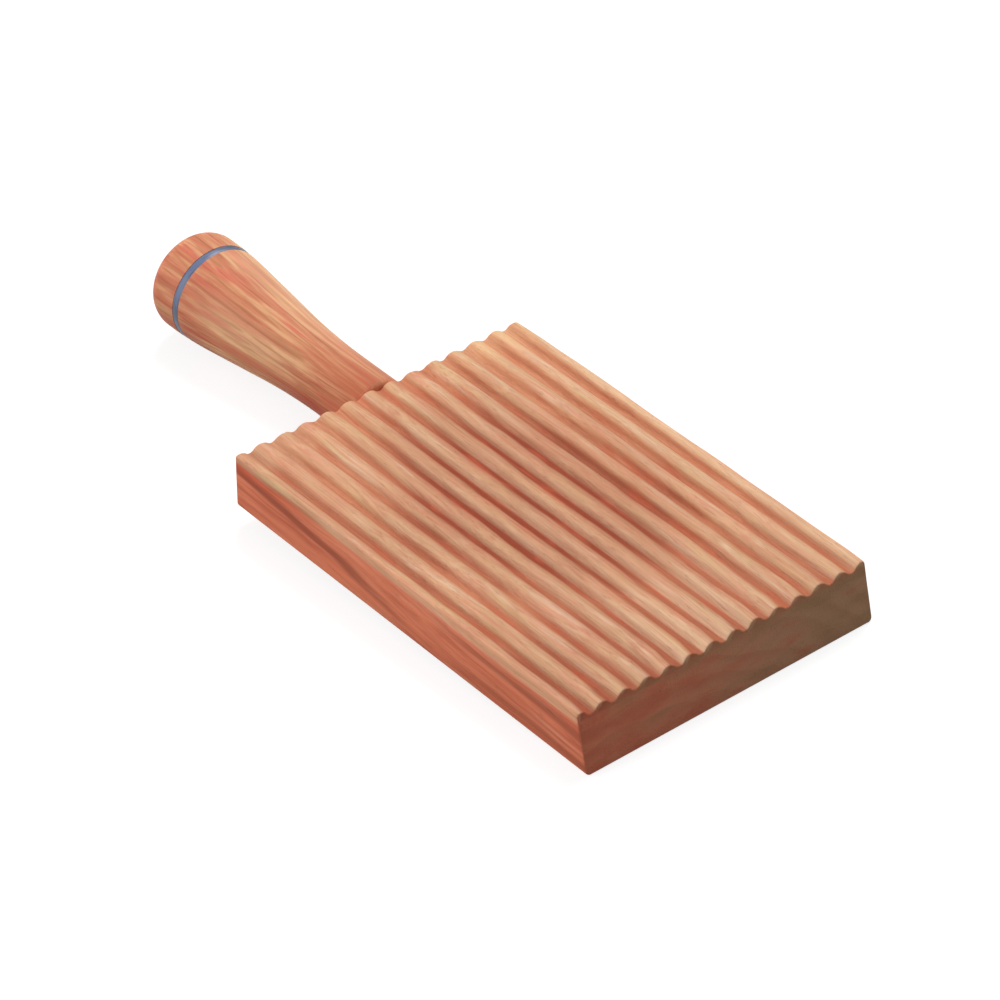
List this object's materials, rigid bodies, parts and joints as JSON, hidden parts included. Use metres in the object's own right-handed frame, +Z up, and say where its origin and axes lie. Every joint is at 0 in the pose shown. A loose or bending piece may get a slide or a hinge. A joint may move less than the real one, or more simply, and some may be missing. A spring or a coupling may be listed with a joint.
{
  "type": "gnocchi board",
  "caption": "Rectangular wooden board with lengthwise rounded ridges and a turned round handle, for rolling and marking small pieces of dough.",
  "frame": {"origin": "on the table, under the middle of the whole object as it lies at rest", "axes": "+X along the ridges towards the square end, away from the handle; +Y across the ridges; +Z up from the table. The block leans 1.85 degrees down towards +X, because the handle's bulb is thicker than the block and holds that end up"},
  "size_m": [0.1666, 0.07, 0.0215],
  "materials": {
    "board_wood": "bare, lightly oiled",
    "handle_wood": "turned and sanded, lightly oiled",
    "blue_lacquer": "satin lacquer",
    "dowel_wood": "bare"
  },
  "bodies": {
    "root": {"ridged_board": "board_wood", "handle": "handle_wood", "blue_band": "blue_lacquer", "dowel": "dowel_wood"}
  },
  "joints": []
}
